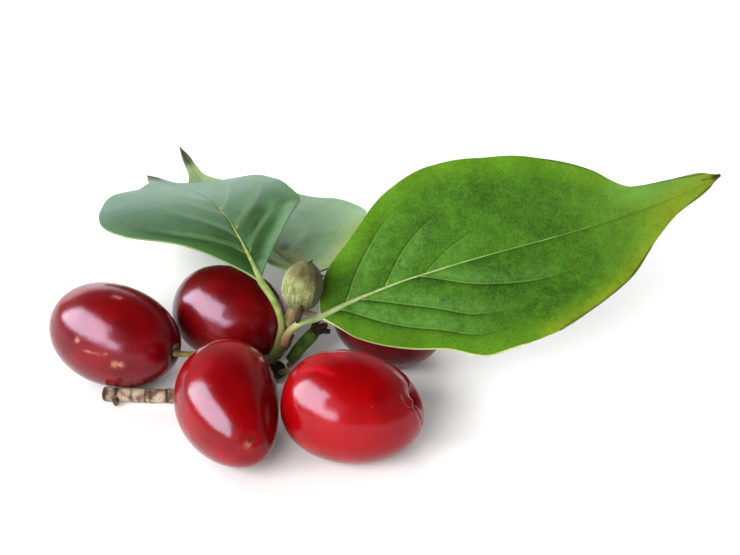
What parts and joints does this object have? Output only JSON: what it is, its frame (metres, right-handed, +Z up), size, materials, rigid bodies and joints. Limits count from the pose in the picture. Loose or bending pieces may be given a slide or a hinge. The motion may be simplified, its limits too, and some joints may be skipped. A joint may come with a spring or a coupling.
{
  "type": "cornelian cherry sprig",
  "caption": "Picked cornelian cherry sprig lying on a surface: glossy red drupes on thin stalks, pointed leaves with arching veins, a round winter bud and a short ringed twig.",
  "frame": {"origin": "middle of the footprint, on the surface the sprig lies on", "axes": "+X to the right, along the leaf that points right; +Y away from the viewer; +Z up from the surface"},
  "size_m": [0.101, 0.0936, 0.0301],
  "materials": {
    "fruit_dark": "smooth waxy skin, deep red",
    "fruit_bright": "smooth waxy skin, bright red",
    "leaf": "satin, lighter midrib and veins",
    "leaf_shaded": "satin, blue-green, lighter veins",
    "shoot": "satin green bark",
    "fruit_stalk": "matt, greenish tan",
    "bark": "matt, grey-brown, ringed",
    "bud": "finely downy, yellow-green to brown",
    "dry_scale": "matt, dry, dark brown"
  },
  "bodies": {
    "root": {"woody_twig": "bark", "green_shoot": "shoot", "spent_stalk": "shoot", "leaf_right": "leaf", "leaf_left": "leaf_shaded", "leaf_back": "leaf_shaded", "flower_bud": "bud", "bud_scale": "dry_scale", "fruit_left": "fruit_dark", "fruit_back": "fruit_dark", "fruit_front": "fruit_dark", "fruit_right": "fruit_bright", "fruit_hidden": "fruit_dark", "stalk_left": "fruit_stalk", "stalk_back": "fruit_stalk", "stalk_front": "fruit_stalk", "stalk_right": "fruit_stalk", "stalk_hidden": "fruit_stalk"}
  },
  "joints": []
}
